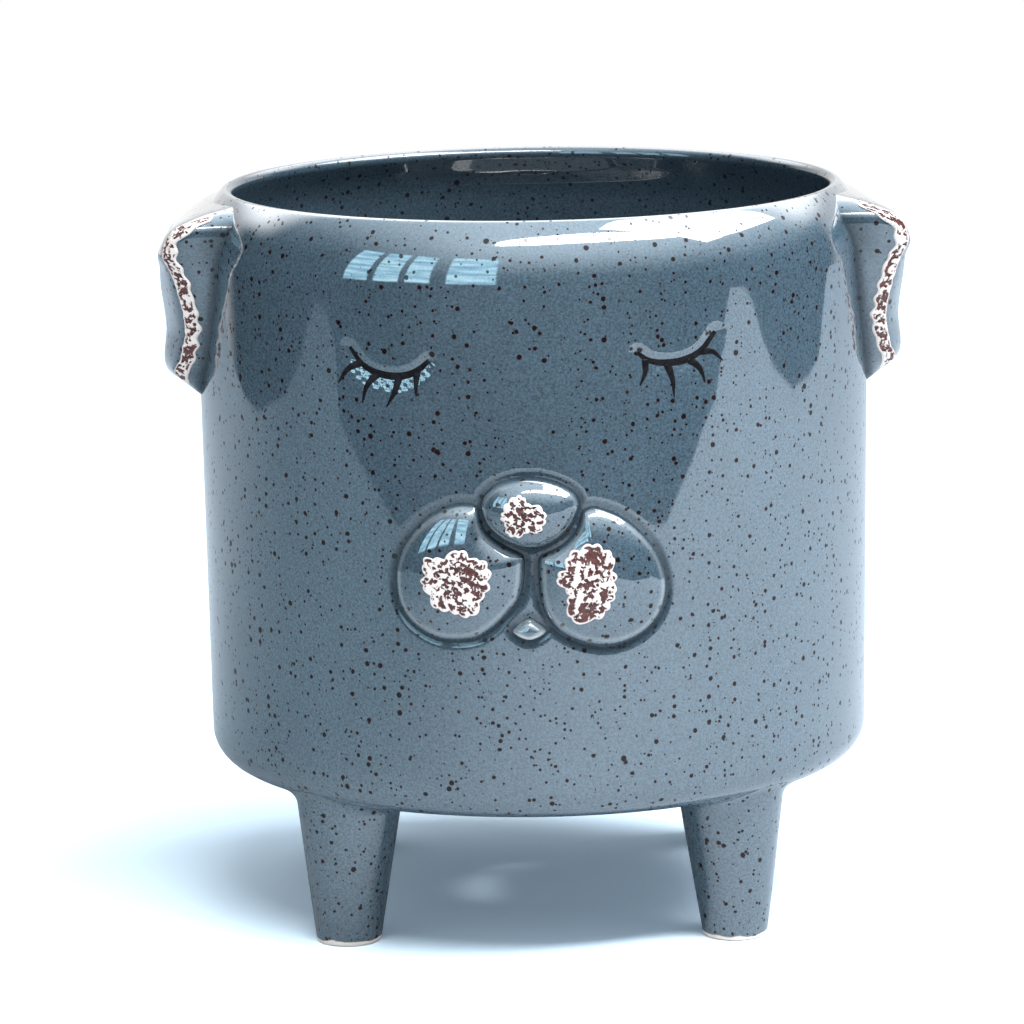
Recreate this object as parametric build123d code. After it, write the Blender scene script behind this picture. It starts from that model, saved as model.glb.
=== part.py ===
from build123d import *
import os
from math import acos, cos, degrees, pi, radians, sin, sqrt, tan

# Glazed ceramic planter with a dog's face, on four short legs.
# Lengths are millimetres and angles are degrees. +Z is up and the face looks towards -Y.
# The origin is the middle of the drain hole, on the pot's axis.
# Left and right are the viewer's, looking at the face: left is -X.

# Pot body
BODY_RADIUS = 70.0
BODY_HEIGHT = 120.4
WALL_THICKNESS = 4.0
FLOOR_THICKNESS = 5.5
WALL_DRAFT = 0.57
LIP_ROUND = 1.5
LIP_SLOPE = 45.0
SHOULDER_RADIUS = 18.6
BOTTOM_CORNER = 6.7
INNER_CORNER = 8.0
DRAIN_RADIUS = 5.0
DRAIN_ROUND = 0.8

# Legs
LEG_HEIGHT = 31.0
LEG_ANGLE = 45.0
LEG_INSET = 14.8
FOOT_SPREAD = 1.0
LEG_RADIUS = 11.0
FOOT_RADIUS = 6.6
FOOT_ROUND = 1.0
LEG_BLEND = 3.5

# Ears, which lie against the wall and the shoulder
EAR_TURN = 2.3
EAR_DROP = 1.4
EAR_LENGTH = 45.0
EAR_HALF_WIDTH = 27.8
EAR_PROUD = 7.9
EAR_ROOT = 12.0
EAR_CROWN = 9.0
EAR_SQUARENESS = 6.0
EAR_CORNER_TURN = 45.0
EAR_SLICE_POINTS = 24

# Level slices of an ear from top to tip: how far down, then shares of its width, thickness and crown
EAR_SHARES = (
    (0.00, 0.78, -0.95, 0.60),
    (0.05, 0.90, -0.08, 0.45),
    (0.14, 1.00, 0.64, 0.42),
    (0.25, 0.97, 0.95, 0.45),
    (0.42, 0.89, 0.93, 0.75),
    (0.60, 0.77, 0.82, 1.00),
    (0.78, 0.58, 0.87, 1.00),
    (0.87, 0.42, 0.36, 1.00),
    (1.00, 0.20, -0.60, 1.00),
)

# Muzzle: cheeks, nose and chin, as domed oval pads on the wall
# Rises are heights of middles above the pot's underside.
MUZZLE_TURN = -0.95
MUZZLE_GAP = 1.6
CHEEK_ANGLE = 11.35
CHEEK_HALF_WIDTH = 13.8
CHEEK_HALF_HEIGHT = 15.6
CHEEK_LEAN = 15.0
CHEEK_LEFT_RISE = 51.5
CHEEK_RIGHT_RISE = 49.7
CHEEK_PROUD = 4.0
NOSE_RISE = 64.0
NOSE_HALF_WIDTH = 10.1
NOSE_HALF_HEIGHT = 7.8
NOSE_PROUD = 5.0
CHIN_RISE = 40.2
CHIN_HALF_WIDTH = 4.8
CHIN_HALF_HEIGHT = 3.6
CHIN_PROUD = 2.4
PAD_ROOT = 2.0
PAD_SQUARENESS = 2.4
PAD_SLICES = 6
PAD_LAST_TURN = 80.0

# Closed eyes: a lid line with four lashes, cut into the wall and filled with black glaze
EYE_ANGLE = 23.9
EYE_LEFT_RISE = 93.8
EYE_RIGHT_RISE = 95.1
EYE_HALF_WIDTH = 8.2
EYE_TILT = 9.0
LID_DROOP = 3.6
LID_THICKNESS = 1.4
LASH_LENGTH = 6.2
LASH_WIDTH = 1.1
LASH_TIP_WIDTH = 0.3
LINE_DEPTH = 1.0
LINE_RECESS = 0.4

# Lashes from the inner to the outer corner: share of the half width, share of the length, lean outwards
LASH_SHARES = (
    (-0.74, 0.69, -18.5),
    (-0.23, 1.00, 8.0),
    (0.33, 0.90, 24.0),
    (0.73, 0.80, 48.0),
)

# Crawled glaze, a rough white glaze over the ears' edges and on the cheeks and nose
CRAWL_THICKNESS = 0.6
CRAWL_EDGE_RADIUS = 2.4
CRAWL_LOBES = 5
CRAWL_LOBE_SHARE = 0.10
CRAWL_DROP = 1.7
CHEEK_LEFT_CRAWL_WIDTH = 7.2
CHEEK_LEFT_CRAWL_HEIGHT = 6.4
CHEEK_RIGHT_CRAWL_WIDTH = 5.9
CHEEK_RIGHT_CRAWL_HEIGHT = 7.6
NOSE_CRAWL_WIDTH = 3.7
NOSE_CRAWL_HEIGHT = 4.2

# One overrun serves every cut
OVERRUN = 20.0
QUARTER_TURN = 90.0

# Worked out from the sizes above
UNDERSIDE_LEVEL = -FLOOR_THICKNESS / 2
FLOOR_LEVEL = FLOOR_THICKNESS / 2
FOOT_LEVEL = UNDERSIDE_LEVEL - LEG_HEIGHT
RIM_LEVEL = UNDERSIDE_LEVEL + BODY_HEIGHT
LEG_REACH = BODY_RADIUS - LEG_INSET
EAR_TOP = RIM_LEVEL - EAR_DROP
CHEEK_LEFT_LEVEL = UNDERSIDE_LEVEL + CHEEK_LEFT_RISE
CHEEK_RIGHT_LEVEL = UNDERSIDE_LEVEL + CHEEK_RIGHT_RISE
NOSE_LEVEL = UNDERSIDE_LEVEL + NOSE_RISE
CHIN_LEVEL = UNDERSIDE_LEVEL + CHIN_RISE
EYE_LEFT_LEVEL = UNDERSIDE_LEVEL + EYE_LEFT_RISE
EYE_RIGHT_LEVEL = UNDERSIDE_LEVEL + EYE_RIGHT_RISE
LIP_SINE = sin(radians(LIP_SLOPE))
LIP_COSINE = cos(radians(LIP_SLOPE))
WALL_TOP_LEVEL = RIM_LEVEL - LIP_ROUND * (1 - LIP_COSINE) - SHOULDER_RADIUS * LIP_COSINE
CREST_RADIUS = BODY_RADIUS - LIP_ROUND * LIP_SINE - SHOULDER_RADIUS * (1 - LIP_SINE)
INNER_SHOULDER_RADIUS = SHOULDER_RADIUS - WALL_THICKNESS
MOUTH_RADIUS = CREST_RADIUS - LIP_ROUND
MOUTH_SPREAD = BODY_RADIUS - WALL_THICKNESS - MOUTH_RADIUS
MOUTH_TURN = degrees(acos(1 - MOUTH_SPREAD / (LIP_ROUND + INNER_SHOULDER_RADIUS)))
PRISM_REACH = BODY_RADIUS + OVERRUN


def wall_radius(level):
    """Outer radius of the drafted wall at a level below the shoulder."""
    return BODY_RADIUS - (WALL_TOP_LEVEL - level) * tan(radians(WALL_DRAFT))


def turned(*edges):
    """Solid of revolution about the pot's axis, from outline edges drawn as radius and height."""
    return revolve(Plane.XZ * make_face(edges), Axis.Z)


def wall_path(lip, shoulder_radius, shoulder_turn, corner_radius, bottom):
    """Shoulder, wall and bottom corner after a lip, as one tangent chain that ends level with bottom."""
    shoulder = JernArc(lip @ 1, lip % 1, shoulder_radius, shoulder_turn)
    corner_drop = corner_radius * (1 - sin(radians(WALL_DRAFT)))
    wall_drop = (shoulder @ 1).Y - corner_drop - bottom
    wall = PolarLine(shoulder @ 1, wall_drop / cos(radians(WALL_DRAFT)), direction=shoulder % 1)
    corner = JernArc(wall @ 1, wall % 1, corner_radius, WALL_DRAFT - QUARTER_TURN)
    return [shoulder, wall, corner]


def outer_path(grow=0):
    """Outside of the pot from its crest to its underside, moved outwards by grow."""
    lip = JernArc((CREST_RADIUS, RIM_LEVEL + grow), (1, 0), LIP_ROUND + grow, -LIP_SLOPE)
    turn = LIP_SLOPE - QUARTER_TURN - WALL_DRAFT
    corner_radius = BOTTOM_CORNER + grow
    return [lip] + wall_path(lip, SHOULDER_RADIUS + grow, turn, corner_radius, UNDERSIDE_LEVEL - grow)


def envelope(grow=0):
    """The pot's outside as one full solid, moved outwards by grow. It trims what sits on the wall."""
    path = outer_path(grow)
    crest = path[0] @ 0
    heel = path[-1] @ 1
    base_line = Line(heel, (0, heel.Y))
    axis_line = Line((0, heel.Y), (0, crest.Y))
    top_line = Line((0, crest.Y), crest)
    return turned(*path, base_line, axis_line, top_line)


def pot_shell():
    """Hollow pot with a round lip and a drain hole in its floor."""
    outside = outer_path()[1:]
    back_up = -(outside[0] % 0)
    lip = JernArc(outside[0] @ 0, back_up, LIP_ROUND, LIP_SLOPE + QUARTER_TURN + MOUTH_TURN)
    inside = wall_path(lip, INNER_SHOULDER_RADIUS, -MOUTH_TURN - WALL_DRAFT, INNER_CORNER, FLOOR_LEVEL)
    brim = DRAIN_RADIUS + DRAIN_ROUND
    drain_top = JernArc((brim, FLOOR_LEVEL), (-1, 0), DRAIN_ROUND, QUARTER_TURN)
    drain_foot = JernArc((brim, UNDERSIDE_LEVEL), (-1, 0), DRAIN_ROUND, -QUARTER_TURN)
    floor_line = Line(inside[-1] @ 1, drain_top @ 0)
    drain_line = Line(drain_top @ 1, drain_foot @ 1)
    base_line = Line(drain_foot @ 0, outside[-1] @ 1)
    return turned(*outside, lip, *inside, floor_line, drain_top, drain_line, drain_foot, base_line)


def leg_place(reach, height):
    """Place on the front right leg's line, at a reach from the pot's axis and a height above its sole."""
    turn = radians(LEG_ANGLE)
    return Pos(reach * cos(turn), -reach * sin(turn), FOOT_LEVEL + height)


def leg_slice(height):
    """Level slice of the front right leg, which tapers and stands out a little towards its foot."""
    share = height / LEG_HEIGHT
    radius = FOOT_RADIUS + (LEG_RADIUS - FOOT_RADIUS) * share
    reach = LEG_REACH + FOOT_SPREAD * (1 - share)
    return leg_place(reach, height) * Circle(radius)


def front_right_leg(pot):
    """Leg with a rounded foot, blended into the pot's bottom corner and cut to meet it face to face."""
    leg_top = LEG_HEIGHT + BOTTOM_CORNER
    cone = loft([leg_slice(0), leg_slice(leg_top)])
    cone = fillet(cone.edges().group_by(Axis.Z)[0], FOOT_ROUND)
    joined = pot + cone
    joined = fillet(new_edges(pot, cone, combined=joined), LEG_BLEND)
    around = Cylinder(LEG_RADIUS + 2 * LEG_BLEND, 2 * leg_top)
    return joined & (leg_place(LEG_REACH, 0) * around - pot)


def ear_point(shares, turn, inset=0):
    """Point of one ear slice at a turn from straight out: a squared oval, bent back by its crown."""
    down_share, width_share, proud_share, crown_share = shares
    spread = abs(cos(turn)) ** EAR_SQUARENESS + abs(sin(turn)) ** EAR_SQUARENESS
    reach = spread ** (-1 / EAR_SQUARENESS)
    across = (EAR_HALF_WIDTH * width_share - inset) * reach * sin(turn)
    out = (EAR_ROOT + EAR_PROUD * proud_share - inset) * reach * cos(turn)
    crown = EAR_CROWN * crown_share * (across / EAR_HALF_WIDTH) ** 2
    return (BODY_RADIUS - EAR_ROOT + out - crown, across)


def ear_level(shares):
    return EAR_TOP - EAR_LENGTH * shares[0]


def ear_form():
    """Right ear, lofted through level slices that are rooted inside the wall."""
    slices = []
    for shares in reversed(EAR_SHARES):
        turns = [2 * pi * step / EAR_SLICE_POINTS for step in range(EAR_SLICE_POINTS)]
        outline = Spline(*[ear_point(shares, turn) for turn in turns], periodic=True)
        slices.append(Pos(0, 0, ear_level(shares)) * make_face(outline))
    return loft(slices)


def ear_crawl(ear, pot):
    """Beads of crawled glaze down the front and back edges of the right ear."""
    turn = -radians(EAR_CORNER_TURN)
    inset = (CRAWL_EDGE_RADIUS - CRAWL_THICKNESS) * cos(turn)
    slices = []
    for shares in reversed(EAR_SHARES[1:-1]):
        x, y = ear_point(shares, turn, inset)
        slices.append(Pos(x, y, ear_level(shares)) * Circle(CRAWL_EDGE_RADIUS))
    front = loft(slices)
    return front + mirror(front, Plane.XZ) - ear - pot


def prism(outline, angle, level):
    """Outline pushed out through the wall, at an angle round the pot from the front and at a level."""
    return Rot(0, 0, angle) * extrude(Plane.XZ * Pos(0, level) * outline, PRISM_REACH)


def band(inner_grow, outer_grow):
    """Solid between two skins of the pot, for what lies on or in its wall."""
    return envelope(outer_grow) - envelope(inner_grow)


def dome(half_width, half_height, proud, lean, angle, level):
    """Domed oval pad rooted inside the wall, at an angle round the pot and at a level."""
    sink = half_width**2 / (2 * BODY_RADIUS)
    slices = [Pos(0, 0, -PAD_ROOT) * Ellipse(half_width, half_height)]
    for step in range(PAD_SLICES):
        turn = radians(PAD_LAST_TURN * step / (PAD_SLICES - 1))
        size_share = cos(turn) ** (2 / PAD_SQUARENESS)
        rise = (proud + sink) * sin(turn) ** (2 / PAD_SQUARENESS)
        slices.append(Pos(0, 0, rise) * Ellipse(half_width * size_share, half_height * size_share))
    place = Rot(0, 0, angle) * Plane.XZ.location * Pos(0, level, wall_radius(level) - sink)
    return place * Rot(0, 0, lean) * loft(slices)


def cheek_place(side):
    """Angle round the pot and level of one cheek. Side is -1 for the left and 1 for the right."""
    level = CHEEK_LEFT_LEVEL if side < 0 else CHEEK_RIGHT_LEVEL
    return MUZZLE_TURN + side * CHEEK_ANGLE, level


def cheek(side, pot):
    """Cheek with room for the nose above it and a groove between it and the other cheek."""
    angle, level = cheek_place(side)
    around_nose = Ellipse(NOSE_HALF_WIDTH + MUZZLE_GAP, NOSE_HALF_HEIGHT + MUZZLE_GAP)
    between_cheeks = Rectangle(MUZZLE_GAP, 2 * (NOSE_LEVEL - CHIN_LEVEL))
    form = dome(CHEEK_HALF_WIDTH, CHEEK_HALF_HEIGHT, CHEEK_PROUD, side * CHEEK_LEAN, angle, level)
    return form - prism(around_nose + between_cheeks, MUZZLE_TURN, NOSE_LEVEL) - pot


def chin(pot):
    """Small chin that shows in the notch under the two cheeks."""
    form = dome(CHIN_HALF_WIDTH, CHIN_HALF_HEIGHT, CHIN_PROUD, 0, MUZZLE_TURN, CHIN_LEVEL)
    around_cheek = Ellipse(CHEEK_HALF_WIDTH + MUZZLE_GAP / 2, CHEEK_HALF_HEIGHT + MUZZLE_GAP / 2)
    for side in (-1, 1):
        form = form - prism(Rot(0, 0, side * CHEEK_LEAN) * around_cheek, *cheek_place(side))
    return form - pot


def crawl_patch(half_width, half_height, proud, angle, level, pad):
    """Patch of crawled glaze with a lobed outline, lying on a pad."""
    points = []
    for step in range(4 * CRAWL_LOBES):
        turn = 2 * pi * step / (4 * CRAWL_LOBES)
        share = 1 + CRAWL_LOBE_SHARE * cos(CRAWL_LOBES * turn)
        points.append((half_width * share * cos(turn), half_height * share * sin(turn)))
    outline = make_face(Spline(*points, periodic=True))
    return (prism(outline, angle, level - CRAWL_DROP) & band(proud / 2, proud + CRAWL_THICKNESS)) - pad


def eye_outline():
    """Lid line and lashes of the right eye, level, about the middle of the line between its corners."""
    inner = (-EYE_HALF_WIDTH, 0)
    outer = (EYE_HALF_WIDTH, 0)
    lower = ThreePointArc(inner, (0, -LID_DROOP), outer)
    upper = ThreePointArc(outer, (0, LID_THICKNESS - LID_DROOP), inner)
    outline = make_face([lower, upper])
    lid_radius = (EYE_HALF_WIDTH**2 + LID_DROOP**2) / (2 * LID_DROOP)
    for base_share, length_share, lean in LASH_SHARES:
        across = base_share * EYE_HALF_WIDTH
        down = lid_radius - LID_DROOP - sqrt(lid_radius**2 - across**2)
        length = LASH_LENGTH * length_share
        lash = Polygon(
            (-LASH_WIDTH / 2, 0),
            (-LASH_TIP_WIDTH / 2, -length),
            (LASH_TIP_WIDTH / 2, -length),
            (LASH_WIDTH / 2, 0),
            align=None,
        )
        outline = outline + Pos(across, down + LID_THICKNESS / 3) * Rot(0, 0, lean) * lash
    return outline


def eye_form(side, level):
    """Prism of one eye's lines. The left eye mirrors the right one."""
    outline = Rot(0, 0, EYE_TILT) * eye_outline()
    if side < 0:
        outline = mirror(outline, Plane.YZ)
    return prism(outline, side * EYE_ANGLE, level)


def build():
    """Every piece by its node name."""
    pot = envelope()
    parts = {}

    eyes = {
        "left": eye_form(-1, EYE_LEFT_LEVEL),
        "right": eye_form(1, EYE_RIGHT_LEVEL),
    }
    body = pot_shell()
    groove_floor = envelope(-LINE_DEPTH)
    for side, form in eyes.items():
        body = body - (form - groove_floor)
        parts["eye_line_" + side] = form & band(-LINE_DEPTH, -LINE_RECESS)
    parts["pot_body"] = body

    leg = front_right_leg(pot)
    parts["leg_front_right"] = leg
    parts["leg_front_left"] = mirror(leg, Plane.YZ)
    parts["leg_rear_right"] = mirror(leg, Plane.XZ)
    parts["leg_rear_left"] = mirror(mirror(leg, Plane.YZ), Plane.XZ)

    ear = ear_form() - pot
    crawl = ear_crawl(ear, pot)
    parts["ear_right"] = Rot(0, 0, EAR_TURN) * ear
    parts["ear_left"] = Rot(0, 0, EAR_TURN) * mirror(ear, Plane.YZ)
    parts["ear_texture_right"] = Rot(0, 0, EAR_TURN) * crawl
    parts["ear_texture_left"] = Rot(0, 0, EAR_TURN) * mirror(crawl, Plane.YZ)

    left = cheek(-1, pot)
    right = cheek(1, pot)
    nose = dome(NOSE_HALF_WIDTH, NOSE_HALF_HEIGHT, NOSE_PROUD, 0, MUZZLE_TURN, NOSE_LEVEL) - pot
    parts["cheek_left"] = left
    parts["cheek_right"] = right
    parts["nose"] = nose
    parts["chin"] = chin(pot)
    left_size = (CHEEK_LEFT_CRAWL_WIDTH, CHEEK_LEFT_CRAWL_HEIGHT, CHEEK_PROUD)
    right_size = (CHEEK_RIGHT_CRAWL_WIDTH, CHEEK_RIGHT_CRAWL_HEIGHT, CHEEK_PROUD)
    nose_size = (NOSE_CRAWL_WIDTH, NOSE_CRAWL_HEIGHT, NOSE_PROUD)
    parts["cheek_texture_left"] = crawl_patch(*left_size, *cheek_place(-1), left)
    parts["cheek_texture_right"] = crawl_patch(*right_size, *cheek_place(1), right)
    parts["nose_texture"] = crawl_patch(*nose_size, MUZZLE_TURN, NOSE_LEVEL, nose)
    return parts


os.makedirs("parts", exist_ok=True)
for name, shape in build().items():
    export_step(shape, "parts/" + name + ".step")
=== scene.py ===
"""Looks of a glazed ceramic planter shaped like a sleeping dog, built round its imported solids."""

import math

import bpy
import numpy as np
from mathutils import Matrix, Vector, noise


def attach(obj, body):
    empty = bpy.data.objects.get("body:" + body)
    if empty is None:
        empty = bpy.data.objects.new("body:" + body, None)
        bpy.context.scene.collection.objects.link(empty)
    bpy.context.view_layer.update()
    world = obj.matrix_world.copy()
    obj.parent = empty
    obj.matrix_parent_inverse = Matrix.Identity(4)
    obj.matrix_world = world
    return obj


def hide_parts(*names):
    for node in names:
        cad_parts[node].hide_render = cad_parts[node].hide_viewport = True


bl_info = {
    "name": "Dog Planter",
    "version": (1, 0, 0),
    "blender": (4, 5, 0),
    "location": "3D View > Sidebar > Planter",
    "description": "Builds a speckled ceramic planter with a sleeping dog's face",
    "category": "Object",
}

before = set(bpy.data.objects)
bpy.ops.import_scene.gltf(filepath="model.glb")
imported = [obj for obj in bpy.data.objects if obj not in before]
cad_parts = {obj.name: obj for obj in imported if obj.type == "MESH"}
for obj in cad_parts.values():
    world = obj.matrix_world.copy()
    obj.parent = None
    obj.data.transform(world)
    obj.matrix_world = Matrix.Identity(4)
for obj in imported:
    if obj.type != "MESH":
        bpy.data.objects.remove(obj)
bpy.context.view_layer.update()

# Sizes are millimetres. Heights are above the table, and STAND is the origin's height above it.
MM = 0.001
STAND = 33.75

# Outside and inside of the pot, as radius and height of each arc's middle, radius, and angles in degrees
CREST = (63.49, 149.9, 1.5)
SHOULDER = (51.40, 137.81, 18.6)
HEEL = (62.30, 37.70, 6.7)
INNER_CORNER = (57.06, 44.50, 8.0)
INNER_SHOULDER = (51.40, 138.97, 14.6)
DRAIN = (5.8, 5.0, 0.8)
UNDERSIDE = 31.0
INNER_FLOOR = 36.5
DRAFT = 0.57
WALL_TOP = (70.0, 137.62)
WALL_FOOT = (69.0, 37.63)
INNER_WALL = ((65.06, 44.42), (66.0, 139.12))

# Heights between which the wall's rows are fine, and turns in degrees with the columns between them
FINE_HEIGHTS = (131.0, 110.0, 62.0)
POT_TURNS = (-180, -34, -15, 15, 34, 180)
POT_COLUMNS = (38, 86, 84, 86, 38)

# Parts of the front wall that carry relief: half width, lowest and highest
MUZZLE_AREA = (34, 60, 108)
EYE_AREA = (14, 112, 133)

# Painted shade inside the pot, laid on as pooled-glaze colour, against 1 in a groove
INSIDE_PAINTED_SHADE = 0.55

# Muzzle pads on the wall: middle, how far each stands proud, and the groove round it as places across and up
PADS = {
    "cheek_left": (-15.0, 82.2, 4.0, (
        (-11.3, 96.2), (-14.6, 96.6), (-17.4, 96.0), (-20.7, 94.3), (-23.4, 92.1), (-25.5, 89.6), (-27.1, 86.8),
        (-28.0, 83.9), (-28.4, 81.1), (-28.3, 78.3), (-27.7, 75.2), (-26.0, 72.1), (-23.4, 69.8), (-19.8, 68.1),
        (-15.9, 67.8), (-12.0, 68.4), (-9.2, 70.0), (-6.7, 72.1), (-4.4, 74.5), (-2.8, 77.0), (-2.0, 79.9),
        (-1.7, 83.1), (-1.9, 85.8), (-4.6, 87.4), (-7.4, 89.1), (-9.8, 91.3), (-10.9, 93.8),
    )),
    "cheek_right": (12.7, 81.1, 4.0, (
        (9.1, 95.1), (11.6, 95.7), (14.7, 94.7), (17.8, 93.0), (21.0, 90.2), (23.6, 86.9), (25.3, 83.2),
        (26.2, 79.2), (25.9, 75.5), (24.5, 72.0), (21.6, 68.9), (17.4, 66.9), (13.3, 66.4), (9.3, 67.1),
        (5.6, 68.7), (3.0, 70.7), (1.2, 73.4), (0.2, 76.5), (-0.2, 80.3), (-0.2, 83.5), (0.1, 85.6),
        (2.7, 86.9), (5.1, 88.4), (7.3, 90.7), (8.5, 93.0),
    )),
    "nose": (-1.1, 94.3, 5.0, (
        (-4.4, 101.6), (-8.2, 100.3), (-10.6, 98.1), (-11.3, 95.8), (-10.9, 93.4), (-9.5, 90.9), (-7.0, 88.7),
        (-4.2, 87.3), (-1.0, 86.8), (2.3, 87.4), (5.1, 89.0), (7.2, 91.2), (8.5, 93.6), (9.1, 96.0),
        (8.4, 98.2), (6.1, 100.0), (2.9, 101.3), (-0.7, 101.9),
    )),
    "chin": (-1.6, 70.6, 2.4, (
        (-1.6, 73.6), (-3.6, 72.6), (-5.5, 70.6), (-4.1, 69.0), (-1.7, 68.1), (0.8, 68.9), (2.3, 70.5), (0.6, 72.5),
    )),
}
PAD_GAP = 0.55
PAD_EDGE = -0.7
PAD_SINK = 0.8
PAD_POWER = 2.3
GROOVE_DEPTH = 0.30
GROOVE_WIDTH = 0.55
# Width of the dark band of pooled glaze and painted shade round the pads
POOL_AND_SHADE_WIDTH = 0.95

# Patches of crawled glaze: pad, middle, half width, half height
PATCHES = {
    "cheek_texture_left": ("cheek_left", -15.2, 81.1, 6.9, 6.2),
    "cheek_texture_right": ("cheek_right", 9.9, 80.6, 5.9, 7.4),
    "nose_texture": ("nose", -2.7, 93.8, 3.9, 4.3),
}
BEAD_HEIGHT = 0.42
GROUND_HEIGHT = 0.04
PATCH_SINK = 0.35

# Start of the vector noise that shapes the beads, which would otherwise change from run to run
BEAD_SEED = 3
noise.seed_set(BEAD_SEED)

# Lid lines from the left to the right corner, and lashes as base, bend and tip
LIDS = {
    "eye_line_left": (
        (-36.4, 126.3), (-34.3, 123.4), (-32.4, 122.0), (-30.4, 121.3), (-28.3, 121.0),
        (-26.2, 121.1), (-24.1, 121.7), (-22.2, 122.9), (-20.6, 124.4),
    ),
    "eye_line_right": (
        (20.5, 125.4), (22.6, 123.8), (24.7, 123.1), (26.9, 122.9), (29.1, 123.0),
        (31.0, 123.5), (32.5, 124.2), (34.1, 125.5), (36.2, 128.3),
    ),
}
LASHES = {
    "eye_line_left": (
        ((-34.2, 123.4), (-36.7, 121.9), (-38.7, 119.0)),
        ((-30.8, 121.5), (-32.9, 118.9), (-33.9, 115.3)),
        ((-26.6, 121.1), (-27.5, 117.8), (-29.1, 114.8)),
        ((-23.1, 122.0), (-23.2, 119.8), (-23.1, 117.2)),
    ),
    "eye_line_right": (
        ((22.2, 123.9), (22.0, 121.4), (20.9, 118.8)),
        ((26.5, 122.8), (27.4, 119.6), (27.7, 116.0)),
        ((30.9, 123.3), (32.9, 121.3), (33.9, 118.4)),
        ((33.3, 124.6), (35.6, 124.3), (37.5, 122.4)),
    ),
}
LID_BAND = 1.9
LID_FALL = 4.4
LID_DEPTH = 0.7

# Level slices of an ear from top to tip: share of the way down, of the width, of the thickness, of the crown
EAR_SLICES = (
    (0.00, 0.78, -0.95, 0.20), (0.05, 0.90, -0.12, 0.10), (0.14, 1.00, 0.60, 0.00),
    (0.25, 0.97, 0.95, 0.08), (0.33, 0.93, 0.94, 0.30), (0.42, 0.89, 0.93, 0.52),
    (0.60, 0.77, 0.82, 0.80), (0.78, 0.58, 0.87, 1.00), (0.87, 0.42, 0.36, 1.00), (1.00, 0.20, -0.60, 1.00),
)
EAR_TOP = 150.0
EAR_LENGTH = 45.0
EAR_HALF_WIDTH = 27.8
EAR_PROUD = 7.9
EAR_ROOT = 12.0
EAR_CROWN = 9.0
EAR_POWER = 10.0
EAR_TURN = 2.3
EAR_LIFT = 0.085
EAR_SINK = 0.8
WALL_RADIUS = 70.0

# Crawled glaze on an ear's edge: shares of the way down, turns searched for the corner, and columns on its outer side
EDGE_SPAN = (0.055, 0.86)
EDGE_TURNS = (8, 88)
EDGE_TOP = 26

# Black lines: width at the start and end of a lid line, its swell, and widths of a lash
LID_WIDTHS = (0.7, 0.9, 0.75)
LASH_WIDTHS = (1.55, 0.22)

# Iron specks: cells in a metre, reach against a cell's size, and share of the cells that have one
SPECK_LAYERS = ((1000.0, 0.34, 0.42), (600.0, 0.34, 0.78), (300.0, 0.22, 0.48))

# Outline of the paper sheet on each side: turn from straight in front in degrees, and reach in metres
SHEET_LEFT = (
    (0, 0.475), (30, 0.485), (45, 0.50), (58, 0.59), (66, 0.66), (68.5, 0.77), (71, 0.86), (75, 0.90), (79, 0.85),
    (82, 0.77), (90, 0.70), (104, 0.665), (112, 0.69), (119, 0.745), (124, 0.82), (128, 0.95), (140, 1.2), (180, 1.3),
)
SHEET_RIGHT = (
    (0, 0.475), (42, 0.50), (52, 0.59), (56, 0.64), (61, 0.69), (63.5, 0.76), (65.5, 0.86), (69, 0.93), (73, 0.93),
    (77, 0.88), (81, 0.80), (86, 0.74), (95, 0.695), (104, 0.72), (110, 0.755), (115, 0.91), (120, 1.1), (140, 1.2),
    (180, 1.3),
)

# Lamps: shape, place and target in metres, way of the first side, size, colour, and power against the key light's
LAMPS = {
    "Key": ("ELLIPSE", (0.31, -0.60, 1.10), (0, 0, 0.10), (1.05, 0.37, 0), (1.2, 0.24), (1.0, 0.99, 0.97), 1.0),
    "Side": ("RECTANGLE", (0.78, 0.0, 1.20), (0, 0, 0.05), (1, 0, 0), (0.9, 0.9), (0.97, 0.985, 1.0), 1.3),
}

# Camera: place in metres, and pitch, yaw and roll in degrees
CAMERA_PLACE = (0, -1.06211, 0.280354 - STAND * MM)
CAMERA_TURNS = (10.6054, 0.2677, -0.951)


class PlanterGlaze(bpy.types.PropertyGroup):
    """Colours and strengths of the planter's glazes."""

    body: bpy.props.FloatVectorProperty(
        name="Body glaze", description="Colour of the blue-grey glaze", subtype="COLOR",
        size=3, min=0, max=1, default=(0.060, 0.100, 0.136),
    )
    # Pooled glaze in grooves, also used as painted shade inside the pot, on the ears' faces and below the pads
    pool: bpy.props.FloatVectorProperty(
        name="Pooled glaze", description="Colour of the glaze where it is thick, in grooves", subtype="COLOR",
        size=3, min=0, max=1, default=(0.012, 0.022, 0.032),
    )
    # Painted sheen: a light colour laid on the pads' edges and the chin where they catch light
    sheen: bpy.props.FloatVectorProperty(
        name="Thin glaze", description="Colour of the glaze where it breaks thin over an edge", subtype="COLOR",
        size=3, min=0, max=1, default=(0.56, 0.62, 0.64),
    )
    speck: bpy.props.FloatVectorProperty(
        name="Iron specks", description="Colour of the dark specks", subtype="COLOR",
        size=3, min=0, max=1, default=(0.012, 0.006, 0.006),
    )
    clay: bpy.props.FloatVectorProperty(
        name="Bare clay", description="Colour of the wiped soles", subtype="COLOR",
        size=3, min=0, max=1, default=(0.80, 0.76, 0.72),
    )
    crawl: bpy.props.FloatVectorProperty(
        name="Crawled glaze", description="Colour of the white beads", subtype="COLOR",
        size=3, min=0, max=1, default=(0.82, 0.79, 0.78),
    )
    pit: bpy.props.FloatVectorProperty(
        name="Bare ground", description="Colour between the white beads", subtype="COLOR",
        size=3, min=0, max=1, default=(0.075, 0.016, 0.013),
    )
    line: bpy.props.FloatVectorProperty(
        name="Eye lines", description="Colour of the lid lines and lashes", subtype="COLOR",
        size=3, min=0, max=1, default=(0.008, 0.008, 0.010),
    )


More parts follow.
